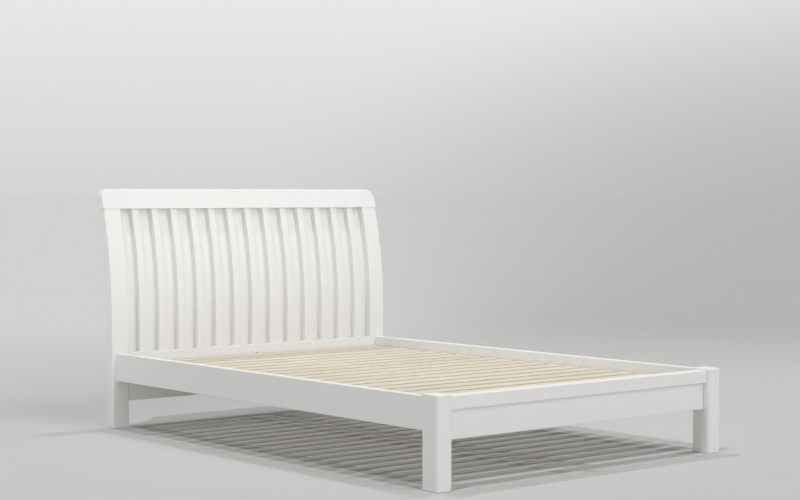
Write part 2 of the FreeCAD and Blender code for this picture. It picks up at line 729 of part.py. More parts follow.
def make_ledgers():
    """A square strip against the rail's inner face, drilled for its own screws and for the slats'."""
    ledger = new_body("ledger_left", -rail_inner_half, leg_back + S.ledger_inset, ledger_bottom)
    add_block(ledger, (ZERO, ZERO, ZERO), (S.ledger_side, rail_length - S.ledger_inset * 2, S.ledger_side))
    seat = countersink(ledger, "YZ_Plane", S.ledger_side, [(S.ledger_screw_inset, S.ledger_screw_height)],
                       S.ledger_side + S.overrun)
    repeat(ledger, seat, "Y_Axis", S.ledger_screw_count, ledger_screw_pitch())
    along = first_slat + S.slat_width / 2 - leg_back - S.ledger_inset
    pilot = bore(ledger, "XY_Plane", S.ledger_side, [(S.ledger_side / 2, along)],
                 screw_hole, S.slat_screw_length - S.slat_thickness + S.joint_gap)
    repeat(ledger, pilot, "Y_Axis", S.slat_count, slat_pitch)
    mirrored("ledger_right", ledger)


def make_ledger_screws():
    screw = new_screw("ledger_screw", S.ledger_screw_length)
    face = rail_inner_half - S.ledger_side
    height = ledger_bottom + S.ledger_screw_height
    places = []
    for number in range(int(S.ledger_screw_count.value)):
        along = leg_back + S.ledger_inset + S.ledger_screw_inset + ledger_screw_pitch() * number
        places.append(((-face, along, height), (0, 1, 0), 90))
        places.append(((face, along, height), (0, 1, 0), -90))
    copies("ledger_screws", screw, places)


def make_slats():
    """Pine boards across the ledgers and the beam, with one screw near each end."""
    screw_half = rail_inner_half - S.ledger_side / 2
    screw = new_screw("slat_screw", S.slat_screw_length)
    places = []
    for number in range(int(S.slat_count.value)):
        front = first_slat + slat_pitch * number
        slat = new_body(f"slat_{number + 1:02d}", -slat_length / 2, front, slat_bottom)
        add_block(slat, (ZERO, ZERO, ZERO), (slat_length, S.slat_width, S.slat_thickness))
        ease(slat, S.slat_round, lambda edge: runs_along(edge, "X"))
        middle = S.slat_width / 2
        ends = [slat_length / 2 + screw_half * side for side in (-1, 1)]
        countersink(slat, "XY_Plane", S.slat_thickness, [(x, middle) for x in ends],
                    S.slat_thickness + S.overrun)
        places += [((screw_half * side, front + middle, slat_top), (0, 0, 1), 0) for side in (-1, 1)]
    copies("slat_screws", screw, places)


def hanger_screw_height():
    return slat_bottom + S.hanger_flange - S.hanger_screw_drop


def beam_ends():
    """Where the beam starts and stops, clear of the two hangers' back plates."""
    room = S.hanger_gauge + S.joint_gap
    return foot_rail_back + room, head_rail_front - room


def make_beam():
    """The beam under the middle of the slats, drilled for the hangers' side screws."""
    start, stop = beam_ends()
    beam = new_body("centre_beam", -S.beam_width / 2, start, beam_bottom)
    add_block(beam, (ZERO, ZERO, ZERO), (S.beam_width, stop - start, S.beam_height))
    near = S.hanger_seat / 2 - S.joint_gap
    centres = [(near, S.beam_height / 2), (stop - start - near, S.beam_height / 2)]
    depth = S.short_screw_length - S.hanger_gauge
    bore(beam, "YZ_Plane", S.beam_width, centres, screw_hole, depth)
    bore(beam, "YZ_Plane", ZERO, centres, screw_hole, depth, reverse=True)


def make_hanger(label, face, forward):
    """A steel stirrup: a back plate with a flange above the slats, two cheeks and a floor under the beam."""
    inside = S.beam_width + S.joint_gap * 2
    width = inside + S.hanger_gauge * 2
    length = S.hanger_gauge + S.hanger_seat
    floor = beam_bottom - S.hanger_gauge
    tall = S.hanger_gauge + S.beam_height
    front = face if forward else face - length
    plate = ZERO if forward else S.hanger_seat
    hanger = new_body(label, -width / 2, front, floor)
    add_block(hanger, (ZERO, plate, ZERO), (width, S.hanger_gauge, tall + S.hanger_flange))
    ease(hanger, S.hanger_corner, lambda edge: runs_along(edge, "Y") and edge.BoundBox.ZMin > tall.value)
    add_block(hanger, (ZERO, ZERO, ZERO), (width, length, S.hanger_gauge))
    add_block(hanger, (ZERO, ZERO, ZERO), (S.hanger_gauge, length, tall))
    add_block(hanger, (width - S.hanger_gauge, ZERO, ZERO), (S.hanger_gauge, length, tall))
    open_side = plate + S.hanger_gauge if forward else plate
    countersink(hanger, "XZ_Plane", open_side, [(width / 2, hanger_screw_height() - floor)],
                S.hanger_gauge + S.overrun, reverse=forward)
    across = S.hanger_seat / 2
    middle = (S.hanger_gauge + across if forward else across, S.hanger_gauge + S.beam_height / 2)
    countersink(hanger, "YZ_Plane", width, [middle], S.hanger_gauge + S.screw_gap)
    countersink(hanger, "YZ_Plane", ZERO, [middle], S.hanger_gauge + S.screw_gap, reverse=True)


def make_hanger_screws():
    screw = new_screw("hanger_screw", S.short_screw_length)
    height = hanger_screw_height()
    side = S.beam_width / 2 + S.joint_gap + S.hanger_gauge
    middle = beam_bottom + S.beam_height / 2
    reach = S.hanger_gauge + S.hanger_seat / 2
    places = [((ZERO, foot_rail_back + S.hanger_gauge, height), (1, 0, 0), -90),
              ((ZERO, head_rail_front - S.hanger_gauge, height), (1, 0, 0), 90)]
    for along in (foot_rail_back + reach, head_rail_front - reach):
        places.append(((side, along, middle), (0, 1, 0), 90))
        places.append(((-side, along, middle), (0, 1, 0), -90))
    copies("hanger_screws", screw, places)


def rail_joints():
    """The four rail ends: the middle of each joint's lower plate edge and the turn of its fittings."""
    height = S.rail_bottom + S.plate_margin
    return [((across, along, height), (0, 0, 1), turn)
            for along, turn in ((head_front, 0), (leg_back, 180))
            for across in (-rail_middle_half, rail_middle_half)]


def make_hook_plates():
    """Plates let into the rail ends, each with two hooks that drop behind a slot plate."""
    plate = bare_body("hook_plate")
    add_block(plate, (-S.plate_width / 2, -S.plate_gauge, ZERO), (S.plate_width, S.plate_gauge, plate_height))
    neck = S.plate_gauge + S.joint_gap
    for seat in hook_seats:
        sketch = new_sketch(plate, "YZ_Plane", -S.hook_gauge / 2)
        draw_polygon(sketch, [(-S.plate_gauge, seat), (neck, seat), (neck, seat - S.hook_lip),
                              (S.hook_reach, seat - S.hook_lip), (S.hook_reach, seat + S.hook_height),
                              (-S.plate_gauge, seat + S.hook_height)])
        extrude(plate, "Pad", sketch, S.hook_gauge)
    countersink(plate, "XZ_Plane", ZERO, [(ZERO, height) for height in plate_screw_heights],
                S.plate_gauge + S.screw_gap, reverse=True)
    copies("rail_hook_plates", plate, rail_joints())


def make_slot_plates():
    """Slotted plates let into the posts and legs."""
    plate = bare_body("slot_plate")
    add_block(plate, (-S.plate_width / 2, ZERO, ZERO), (S.plate_width, S.plate_gauge, plate_height))
    half = S.hook_gauge / 2 + S.joint_gap
    for seat in hook_seats:
        cut_block(plate, (-half, -S.overrun, seat), (half * 2, S.plate_gauge + S.overrun * 2, S.slot_height))
    countersink(plate, "XZ_Plane", ZERO, [(ZERO, height) for height in plate_screw_heights],
                S.plate_gauge + S.screw_gap)
    copies("post_slot_plates", plate, rail_joints())


def make_plate_screws():
    screw = new_screw("plate_screw", S.short_screw_length)
    places = []
    for (x, y, z), axis, turn in rail_joints():
        for height in plate_screw_heights:
            places.append(((x, y, z + height), (1, 0, 0), 90))
            places.append(((x, y, z + height), (1, 0, 0), -90))
    copies("plate_screws", screw, places)


def check_and_export():
    """Stop if anything failed, then write each piece to its own file."""
    doc.recompute()
    for item in doc.Objects:
        if "Invalid" in item.State or "Error" in item.State:
            raise RuntimeError(f"{item.Label} failed: {item.State}")
    for piece in pieces:
        if piece.Shape.isNull() or not piece.Shape.isValid() or not piece.Shape.Solids:
            raise RuntimeError(f"{piece.Label} has no valid solid")
    os.makedirs("parts", exist_ok=True)
    for piece in pieces:
        piece.Shape.exportStep(f"parts/{piece.Label}.step")
    box = Part.makeCompound([piece.Shape for piece in pieces]).optimalBoundingBox(False)
    print(f"{len(pieces)} pieces, {box.XLength:.1f} x {box.YLength:.1f} x {box.ZLength:.1f} mm, "
          f"middle {box.Center.x:.3f}, {box.Center.y:.3f}, bottom {box.ZMin:.3f}")


make_posts()
make_cap()
make_dowels()
make_head_rail()
make_bars()
make_back_panel()
make_legs()
make_foot_rail()
make_foot_panel()
make_side_rails()
make_ledgers()
make_ledger_screws()
make_slats()
make_beam()
make_hanger("beam_hanger_head", head_rail_front, forward=False)
make_hanger("beam_hanger_foot", foot_rail_back, forward=True)
make_hanger_screws()
make_hook_plates()
make_slot_plates()
make_plate_screws()
check_and_export()
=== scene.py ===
"""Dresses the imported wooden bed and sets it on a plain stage.

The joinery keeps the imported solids' shapes and gets its paint, bare wood and plating here. The screws that
show are made anew, with a cross recess in the head and a thread on the shank.
"""
import math

import bmesh
import bpy
import numpy as np
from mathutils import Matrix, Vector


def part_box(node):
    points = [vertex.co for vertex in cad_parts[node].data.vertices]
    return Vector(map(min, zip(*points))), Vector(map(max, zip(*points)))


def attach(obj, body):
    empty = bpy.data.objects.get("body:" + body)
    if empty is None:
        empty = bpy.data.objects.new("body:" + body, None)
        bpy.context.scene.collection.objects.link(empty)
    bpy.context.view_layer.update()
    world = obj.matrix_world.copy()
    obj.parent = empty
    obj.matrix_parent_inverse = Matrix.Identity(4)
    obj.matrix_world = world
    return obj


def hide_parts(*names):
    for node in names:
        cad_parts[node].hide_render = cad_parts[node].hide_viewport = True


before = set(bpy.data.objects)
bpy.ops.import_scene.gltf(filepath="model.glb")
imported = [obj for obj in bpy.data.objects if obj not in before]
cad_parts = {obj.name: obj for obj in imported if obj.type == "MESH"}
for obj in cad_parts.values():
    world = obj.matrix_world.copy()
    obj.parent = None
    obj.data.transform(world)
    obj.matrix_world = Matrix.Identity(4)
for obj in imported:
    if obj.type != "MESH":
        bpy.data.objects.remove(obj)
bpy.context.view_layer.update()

bl_info = {
    "name": "Wooden bed",
    "version": (1, 0, 0),
    "blender": (4, 5, 0),
    "location": "3D View > Sidebar > Bed",
    "description": "Paints the joinery of a slatted bed, makes its screws, and lights it on a plain floor",
    "category": "Object",
}

MM = 0.001
SLATS = sorted(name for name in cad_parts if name.startswith("slat_") and name != "slat_screws")
BARS = sorted(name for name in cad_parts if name.startswith("headboard_bar_"))
SLAT_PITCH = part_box(SLATS[1])[0].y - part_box(SLATS[0])[0].y
SLAT_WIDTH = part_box(SLATS[0])[1].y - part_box(SLATS[0])[0].y
# Points of a new mesh that lie closer than this are one point.
SAME_PLACE = 0.001 * MM
# Screws along each ledger, the length of a hanger's screw, and how far the screw in a hanger's cheek lies from
# the hanger's flange
LEDGER_SCREWS = 6
HANGER_SCREW = 16 * MM
CHEEK_INSET = 22.5 * MM


def linear(code):
    """An sRGB hex colour as linear red, green and blue."""
    parts = [int(code[at:at + 2], 16) / 255 for at in (0, 2, 4)]
    return tuple(part / 12.92 if part <= 0.04045 else ((part + 0.055) / 1.055) ** 2.4 for part in parts)


def colour(name, description, code):
    """A colour that a user may change, with an sRGB hex value as its default."""
    return bpy.props.FloatVectorProperty(name=name, description=description, subtype="COLOR", size=3, min=0, max=1,
                                         default=linear(code))


def length(name, description, size):
    """A length that a user may change, with its default in metres."""
    return bpy.props.FloatProperty(name=name, description=description, unit="LENGTH", min=0.00001, default=size,
                                   precision=4)


def strength(name, description, size):
    """The strength of a light that a user may change."""
    return bpy.props.FloatProperty(name=name, description=description, min=0, default=size)


class BedFinishes(bpy.types.PropertyGroup):
    """Colours and grain of the bed's paint, wood and plating."""

    paint: colour("Paint", "Colour of the sprayed paint", "EEEEED")
    thin_paint: colour("Thin paint", "Colour where the paint lies thin over the grain", "EBEBE8")
    paint_grain: length("Painted grain", "Width of the grain streaks that show through the paint", 7 * MM)
    orange_peel: length("Orange peel", "Width of the ripples that spraying leaves in the paint", 3 * MM)
    early_wood: colour("Early wood", "Colour of the pale part of a pine's year ring", "D6CDBD")
    late_wood: colour("Late wood", "Colour of the dark part of a pine's year ring", "C9BEA9")
    ring: length("Year ring", "Distance between a pine's year rings", 3.5 * MM)
    coat: colour("Powder coat", "Colour of the coating on the beam hangers", "EFEFED")
    zinc: colour("Zinc", "Colour of the zinc plating", "C3C6C8")
    beech: colour("Beech", "Colour of the turned dowels", "D2AE82")


class BedScrews(bpy.types.PropertyGroup):
    """Sizes of the countersunk screws."""

    head: length("Head", "Diameter of the countersunk head", 8 * MM)
    head_height: length("Head height", "Height of the countersunk cone", 2 * MM)
    shank: length("Shank", "Diameter of the thread's crests", 4 * MM)
    core: length("Core", "Diameter at the bottom of the thread", 2.8 * MM)
    pitch: length("Pitch", "Distance between two turns of the thread", 2.4 * MM)
    recess: length("Recess", "Reach of the cross recess from the middle of the head", 2.5 * MM)
    recess_depth: length("Recess depth", "Depth of the cross recess", 1.6 * MM)


class BedStage(bpy.types.PropertyGroup):
    """The floor, the backdrop, the lights and the camera."""

    floor: colour("Floor", "Colour of the studio floor under the bed", "BEBEBD")
    far_floor: colour("Far floor", "Colour of the studio floor far from the bed", "CBCBCA")
    floor_near: length("Near floor", "Distance from the bed's middle where the floor starts to turn paler", 2.0)
    floor_far: length("Far floor's start", "Distance from the bed's middle where the floor is palest", 7.0)
    backdrop: colour("Backdrop", "Colour of the backdrop at the horizon", "D4D4D3")
    backdrop_top: colour("Upper backdrop", "Colour of the backdrop above the bed", "E8E8E8")
    above: colour("Above", "Colour of the light from all round above the backdrop", "7A7A7A")
    floor_reach: length("Floor reach", "Radius of the studio floor", 1500.0)
    shade: bpy.props.FloatProperty(name="Shade", min=0, max=1, default=0.29,
                                   description="Share of the light that the backdrop's right side lacks")
    shade_heading: bpy.props.FloatProperty(name="Shade heading", subtype="ANGLE", default=math.radians(66),
                                           description="Turn of the shade from the bed's length")
    shade_reach: bpy.props.FloatProperty(name="Shade reach", subtype="ANGLE", default=math.radians(32),
                                         description="Angle from the shade's middle to its edge")
    left: strength("Left light", "Strength of the narrow light from above on the left", 0.83)
    right: strength("Right light", "Strength of the narrow light from above on the right", 0.54)
    head: strength("Head light", "Strength of the narrow light from above behind the headboard", 0.7)
    front: strength("Front light", "Strength of the broad light from above the foot", 0.74)
    low_front: strength("Low front light", "Strength of the broad low light from the foot", 0.25)
    left_front: strength("Left front light", "Strength of the broad low light from the left of the foot", 0.13)
    headboard: strength("Headboard light", "Strength of the soft box before the headboard, in watts", 4.8)
    rising: strength("Rising light", "Strength of the soft box that shines up under the cap, in watts", 0.7)
    post: strength("Post light", "Strength of the soft box beside the left post, in watts", 0.28)
    rail: strength("Rail light", "Strength of the soft box that lights the right rail from inside, in watts", 0.5)
    lens: bpy.props.FloatProperty(name="Lens", description="Focal length on a 36 mm wide sensor", default=77.45,
                                  unit="CAMERA", min=1)
    camera: bpy.props.FloatVectorProperty(name="Camera", description="Place of the camera", subtype="TRANSLATION",
                                          unit="LENGTH", default=(-4.5088, -5.4660, 1.0018))
    tilt: bpy.props.FloatProperty(name="Tilt", description="How far the camera looks down", subtype="ANGLE",
                                  default=math.radians(1.82))
    heading: bpy.props.FloatProperty(name="Heading", description="Turn of the view from the bed's length",
                                     subtype="ANGLE", default=math.radians(-39.74))


def add(tree, kind, inputs=None, **settings):
    """Adds one node with its settings. An input is a plain value, or another node's output to link."""
    node = tree.nodes.new(kind)
    for name, value in settings.items():
        setattr(node, name, value)
    for key, value in (inputs or {}).items():
        if isinstance(value, bpy.types.NodeSocket):
            tree.links.new(value, node.inputs[key])
        else:
            node.inputs[key].default_value = value
    return node


def new_material(name):
    """A new material without nodes and True, or the finished one of that name and False."""
    if name in bpy.data.materials:
        return bpy.data.materials[name], False
    material = bpy.data.materials.new(name)
    material.use_nodes = True
    material.node_tree.nodes.clear()
    return material, True


def close(tree, shader):
    """Links the finished shader to the material's output."""
    add(tree, "ShaderNodeOutputMaterial", {"Surface": shader.outputs[0]})


def sprayed_paint(grain):
    """Satin paint sprayed on planed wood whose grain runs along X, Y or Z.

    To the eye: an even, slightly warm white with a soft sheen. The grain shows through as long faint streaks,
    the sprayed film has a fine ripple, and its sheen and thickness drift a little over a hand's width.
    """
    finishes = bpy.context.scene.bed_finishes
    material, empty = new_material(f"Satin paint sprayed on wood, grain along {grain}")
    if not empty:
        return material
    tree = material.node_tree
    place = add(tree, "ShaderNodeTexCoord").outputs["Object"]
    # A streak's length in its own widths, and the width of a hand, over which the film drifts
    streak_length, hand = 45, 180 * MM
    relief, ripple_depth = 0.15 * MM, 0.04 * MM
    stretch = tuple(1 / streak_length if axis == grain else 1.0 for axis in "XYZ")
    along = add(tree, "ShaderNodeMapping", {"Vector": place, "Scale": stretch}).outputs[0]
    # Real pores are a few tenths of a millimetre wide: drawn at 7 mm, so that they show as streaks.
    streaks = add(tree, "ShaderNodeTexNoise", {"Vector": along, "Scale": 1 / finishes.paint_grain, "Detail": 3.0,
                                               "Roughness": 0.6}).outputs[0]
    drift = add(tree, "ShaderNodeTexNoise", {"Vector": place, "Scale": 1 / hand, "Detail": 2.0}).outputs[0]
    ripple = add(tree, "ShaderNodeTexNoise", {"Vector": place, "Scale": 1 / finishes.orange_peel,
                                              "Detail": 1.0}).outputs[0]
    thin = add(tree, "ShaderNodeMapRange", {"Value": streaks, "From Min": 0.35, "From Max": 0.75}).outputs[0]
    both = add(tree, "ShaderNodeMath", {0: thin, 1: drift}, operation="MULTIPLY").outputs[0]
    film = add(tree, "ShaderNodeMix", {0: both, 6: (*finishes.paint, 1), 7: (*finishes.thin_paint, 1)},
               data_type="RGBA").outputs[2]
    sheen = add(tree, "ShaderNodeMapRange", {"Value": drift, "From Min": 0.3, "From Max": 0.7, "To Min": 0.36,
                                             "To Max": 0.46}).outputs[0]
    raised = add(tree, "ShaderNodeBump", {"Height": streaks, "Strength": 0.25, "Distance": relief}).outputs[0]
    surface = add(tree, "ShaderNodeBump", {"Height": ripple, "Strength": 0.25, "Distance": ripple_depth,
                                           "Normal": raised}).outputs[0]
    shader = add(tree, "ShaderNodeBsdfPrincipled", {"Base Color": film, "Roughness": sheen, "IOR": 1.5,
                                                    "Normal": surface})
    close(tree, shader)
    return material


def planed_pine(name, grain, first, pitch, width, level):
    """Pine planed smooth and left bare, grain along X or Y, each board from a log of its own.

    To the eye: pale cream with soft, slightly darker year lines that run with the board and close in long
    points, fine fibres, no gloss. Boards lie side by side from first, a pitch apart, with their undersides at
    level, and each takes its own place in its log and its own tone.

    Year rings are circles about the log's heart, which runs under each board, a little askew.
    """
    finishes = bpy.context.scene.bed_finishes
    material, empty = new_material(f"Planed pine, {name}")
    if not empty:
        return material
    # The log's heart lies up to 25 mm to either side of the board's middle and 45 to 95 mm below it, leans and
    # swings a little from the board's length, and a board may come from anywhere along 4 m of log.
    aside_most, nearest, deepest, log = 25 * MM, 45 * MM, 95 * MM, 4.0
    lean, swing = math.radians(0.7), math.radians(0.3)
    # Fibres are hair-fine: drawn 3 mm wide, so that they show, and 60 times as long.
    fibre, fibre_length, relief = 3 * MM, 60, 0.15 * MM
    tree = material.node_tree
    place = add(tree, "ShaderNodeTexCoord").outputs["Object"]
    turn = math.radians(90) if grain == "Y" else 0.0
    turned = add(tree, "ShaderNodeMapping", {"Vector": place, "Rotation": (0, 0, turn)}).outputs[0]
    split = add(tree, "ShaderNodeSeparateXYZ", {0: turned})
    count = add(tree, "ShaderNodeMapRange", {"Value": split.outputs["Y"], "From Min": first,
                                             "From Max": first + pitch}, clamp=False).outputs[0]
    board = add(tree, "ShaderNodeMath", {0: count}, operation="FLOOR").outputs[0]
    chance = add(tree, "ShaderNodeTexWhiteNoise", {"W": board}, noise_dimensions="1D")
    draws = add(tree, "ShaderNodeSeparateXYZ", {0: chance.outputs["Color"]})
    within = add(tree, "ShaderNodeMath", {0: count}, operation="FRACT").outputs[0]
    across = add(tree, "ShaderNodeMapRange", {"Value": within, "To Min": -width / 2, "To Max": pitch - width / 2},
                 clamp=False).outputs[0]
    aside = add(tree, "ShaderNodeMapRange", {"Value": draws.outputs["X"], "To Min": -aside_most,
                                             "To Max": aside_most}).outputs[0]
    depth = add(tree, "ShaderNodeMapRange", {"Value": draws.outputs["Y"], "To Min": nearest - level,
                                             "To Max": deepest - level}).outputs[0]
    start = add(tree, "ShaderNodeMath", {0: draws.outputs["Z"], 1: log, 2: split.outputs["X"]},
                operation="MULTIPLY_ADD").outputs[0]
    from_heart = add(tree, "ShaderNodeMath", {0: across, 1: aside}).outputs[0]
    above_heart = add(tree, "ShaderNodeMath", {0: split.outputs["Z"], 1: depth}).outputs[0]
    in_log = add(tree, "ShaderNodeCombineXYZ", {0: start, 1: from_heart, 2: above_heart}).outputs[0]
    askew = add(tree, "ShaderNodeMapping", {"Vector": in_log, "Rotation": (0, lean, swing)}).outputs[0]
    # A ring wave of scale s repeats every 2 pi / 20 / s.
    rings = add(tree, "ShaderNodeTexWave", {"Vector": askew, "Scale": 2 * math.pi / 20 / finishes.ring,
                                            "Distortion": 3.0, "Detail": 2.0, "Detail Scale": 0.04},
                wave_type="RINGS", rings_direction="X", wave_profile="SAW").outputs["Fac"]
    late = add(tree, "ShaderNodeMath", {0: rings, 1: 2.0}, operation="POWER").outputs[0]
    drawn_out = add(tree, "ShaderNodeMapping", {"Vector": in_log, "Scale": (1 / fibre_length, 1, 1)}).outputs[0]
    fibres = add(tree, "ShaderNodeTexNoise", {"Vector": drawn_out, "Scale": 1 / fibre, "Detail": 3.0}).outputs[0]
    grain_tone = add(tree, "ShaderNodeMath", {0: fibres, 1: 0.45, 2: late}, operation="MULTIPLY_ADD").outputs[0]
    share = add(tree, "ShaderNodeMapRange", {"Value": grain_tone, "From Min": 0.1, "From Max": 1.3}).outputs[0]
    bare = add(tree, "ShaderNodeMix", {0: share, 6: (*finishes.early_wood, 1), 7: (*finishes.late_wood, 1)},
               data_type="RGBA").outputs[2]
    tone = add(tree, "ShaderNodeMapRange", {"Value": chance.outputs["Value"], "To Min": 0.96,
                                            "To Max": 1.02}).outputs[0]
    wood = add(tree, "ShaderNodeHueSaturation", {"Color": bare, "Value": tone}).outputs[0]
    dull = add(tree, "ShaderNodeMapRange", {"Value": grain_tone, "To Min": 0.68, "To Max": 0.55}).outputs[0]
    surface = add(tree, "ShaderNodeBump", {"Height": grain_tone, "Strength": 0.3, "Distance": relief}).outputs[0]
    shader = add(tree, "ShaderNodeBsdfPrincipled", {"Base Color": wood, "Roughness": dull, "IOR": 1.45,
                                                    "Normal": surface})
    close(tree, shader)
    return material


def zinc_plate():
    """Steel pressed or rolled, then zinc plated.

    To the eye: a cool grey metal with a dull shine, mottled in patches a few millimetres wide.
    """
    finishes = bpy.context.scene.bed_finishes
    material, empty = new_material("Zinc plated pressed steel")
    if not empty:
        return material
    spangle_width, haze_width, relief = 3 * MM, 8 * MM, 0.05 * MM
    tree = material.node_tree
    place = add(tree, "ShaderNodeTexCoord").outputs["Object"]
    spangle = add(tree, "ShaderNodeTexVoronoi", {"Vector": place, "Scale": 1 / spangle_width}).outputs["Color"]
    cell = add(tree, "ShaderNodeSeparateXYZ", {0: spangle})
    haze = add(tree, "ShaderNodeTexNoise", {"Vector": place, "Scale": 1 / haze_width, "Detail": 3.0}).outputs[0]
    tone = add(tree, "ShaderNodeMapRange", {"Value": cell.outputs["X"], "To Min": 0.9, "To Max": 1.04}).outputs[0]
    metal = add(tree, "ShaderNodeHueSaturation", {"Color": (*finishes.zinc, 1), "Value": tone}).outputs[0]
    dull = add(tree, "ShaderNodeMapRange", {"Value": haze, "From Min": 0.3, "From Max": 0.7, "To Min": 0.28,
                                            "To Max": 0.45}).outputs[0]
    surface = add(tree, "ShaderNodeBump", {"Height": haze, "Strength": 0.15, "Distance": relief}).outputs[0]
    shader = add(tree, "ShaderNodeBsdfPrincipled", {"Base Color": metal, "Metallic": 1.0, "Roughness": dull,
                                                    "Normal": surface})
    close(tree, shader)
    return material


def powder_coat():
    """Pressed steel, powder coated white.

    To the eye: a clean white with a soft gloss and the shallow dimples of molten powder, some 1.5 mm apart.
    """
    finishes = bpy.context.scene.bed_finishes
    material, empty = new_material("White powder coat on pressed steel")
    if not empty:
        return material
    dimple, haze_width, relief = 1.5 * MM, 12 * MM, 0.05 * MM
    tree = material.node_tree
    place = add(tree, "ShaderNodeTexCoord").outputs["Object"]
    dimples = add(tree, "ShaderNodeTexNoise", {"Vector": place, "Scale": 1 / dimple, "Detail": 1.0}).outputs[0]
    haze = add(tree, "ShaderNodeTexNoise", {"Vector": place, "Scale": 1 / haze_width, "Detail": 2.0}).outputs[0]
    tone = add(tree, "ShaderNodeMapRange", {"Value": haze, "From Min": 0.3, "From Max": 0.7, "To Min": 0.97,
                                            "To Max": 1.0}).outputs[0]
    white = add(tree, "ShaderNodeHueSaturation", {"Color": (*finishes.coat, 1), "Value": tone}).outputs[0]
    gloss = add(tree, "ShaderNodeMapRange", {"Value": haze, "From Min": 0.3, "From Max": 0.7, "To Min": 0.3,
                                             "To Max": 0.42}).outputs[0]
    surface = add(tree, "ShaderNodeBump", {"Height": dimples, "Strength": 0.3, "Distance": relief}).outputs[0]
    shader = add(tree, "ShaderNodeBsdfPrincipled", {"Base Color": white, "Roughness": gloss, "IOR": 1.5,
                                                    "Normal": surface})
    close(tree, shader)
    return material


def turned_beech():
    """Beech turned into dowel rod.

    To the eye: a warm tan with short darker flecks along the rod, and no gloss.
    """
    finishes = bpy.context.scene.bed_finishes
    material, empty = new_material("Turned beech")
    if not empty:
        return material
    # A fleck's length is given in its own widths.
    fleck, fleck_length, relief = 0.8 * MM, 8, 0.05 * MM
    tree = material.node_tree
    place = add(tree, "ShaderNodeTexCoord").outputs["Object"]
    along = add(tree, "ShaderNodeMapping", {"Vector": place, "Scale": (1, 1, 1 / fleck_length)}).outputs[0]
    flecks = add(tree, "ShaderNodeTexNoise", {"Vector": along, "Scale": 1 / fleck, "Detail": 2.0}).outputs[0]
    tone = add(tree, "ShaderNodeMapRange", {"Value": flecks, "From Min": 0.3, "From Max": 0.7, "To Min": 1.05,
                                            "To Max": 0.8}).outputs[0]
    wood = add(tree, "ShaderNodeHueSaturation", {"Color": (*finishes.beech, 1), "Value": tone}).outputs[0]
    surface = add(tree, "ShaderNodeBump", {"Height": flecks, "Strength": 0.2, "Distance": relief}).outputs[0]
    shader = add(tree, "ShaderNodeBsdfPrincipled", {"Base Color": wood, "Roughness": 0.6, "IOR": 1.45,
                                                    "Normal": surface})
    close(tree, shader)
    return material


def dress(names, material):
    """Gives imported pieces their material."""
    for name in names:
        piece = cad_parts[name]
        for slot in piece.material_slots:
            slot.material = material
        if not piece.material_slots:
            piece.data.materials.append(material)


def new_piece(name, points, faces, material):
    """A mesh object at the origin from rows of points and faces, with the points of each pole merged."""
    mesh = bpy.data.meshes.new(name)
    mesh.from_pydata(points, [], faces)
    merged = bmesh.new()
    merged.from_mesh(mesh)
    bmesh.ops.remove_doubles(merged, verts=merged.verts, dist=SAME_PLACE)
    merged.to_mesh(mesh)
    merged.free()
    mesh.materials.append(material)
    mesh.update()
    piece = bpy.data.objects.new(name, mesh)
    bpy.context.scene.collection.objects.link(piece)
    return piece


def grid_faces(rows, columns):
    """Quads of a grid that closes round its columns."""
    row, column = np.meshgrid(np.arange(rows - 1), np.arange(columns), indexing="ij")
    beside = (column + 1) % columns
    this, below = row * columns, (row + 1) * columns
    corners = [this + column, this + beside, below + beside, below + column]
    return np.stack(corners, axis=-1).reshape(-1, 4)


def screw_surface(size):
    """A countersunk screw of a length, with the top of its head at the origin and its point down -Z.

    The surface is a radius over height and angle. The recess floor falls from a cross that reaches further along
    X and Y than between them. The head is a cone, and the thread's radius swings between core and crest with
    the height in turns plus the angle. The point is a cone. Returns rows of points and quads.
    """
    screws = bpy.context.scene.bed_screws
    # Points round the screw, and rows of points to a turn of its thread
    columns, steps = 16, 4
    # Shares of the recess: its reach between the cross's arms, its floor's width, its depth at the floor's edge
    between, floor, edge = 0.36, 0.55, 0.8
    angle = np.arange(columns) * 2 * math.pi / columns
    cross = np.cos(2 * angle) ** 2
    head, core, crest = screws.head / 2, screws.core / 2, screws.shank / 2
    # Recess: middle and edge of its floor, rim of its walls, then the head's edge.
    reach = screws.recess * (between + (1 - between) * cross)
    radii = [0 * angle, floor * reach, reach, 0 * angle + head]
    heights = [-screws.recess_depth, -screws.recess_depth * edge, 0.0, 0.0]
    # Below the head: plain neck, thread, and a point twice as long as the shank is thick.
    neck = -screws.head_height
    tip = -size
    point = tip + 2 * screws.shank
    turns = np.arange(neck - screws.pitch, point, -screws.pitch / steps)
    swing = 0.5 + 0.5 * np.cos(2 * math.pi * turns[:, None] / screws.pitch + angle)
    radii += [0 * angle + crest]
    heights += [neck]
    radii += list(core + (crest - core) * swing)
    heights += list(turns)
    radii += [0 * angle + core, 0 * angle]
    heights += [point, tip]
    radius = np.array(radii)
    height = np.array(heights)[:, None] + 0 * angle
    points = np.stack([radius * np.cos(angle), radius * np.sin(angle), height], axis=-1).reshape(-1, 3)
    faces = grid_faces(len(radius), columns)
    return points, faces[:, ::-1]


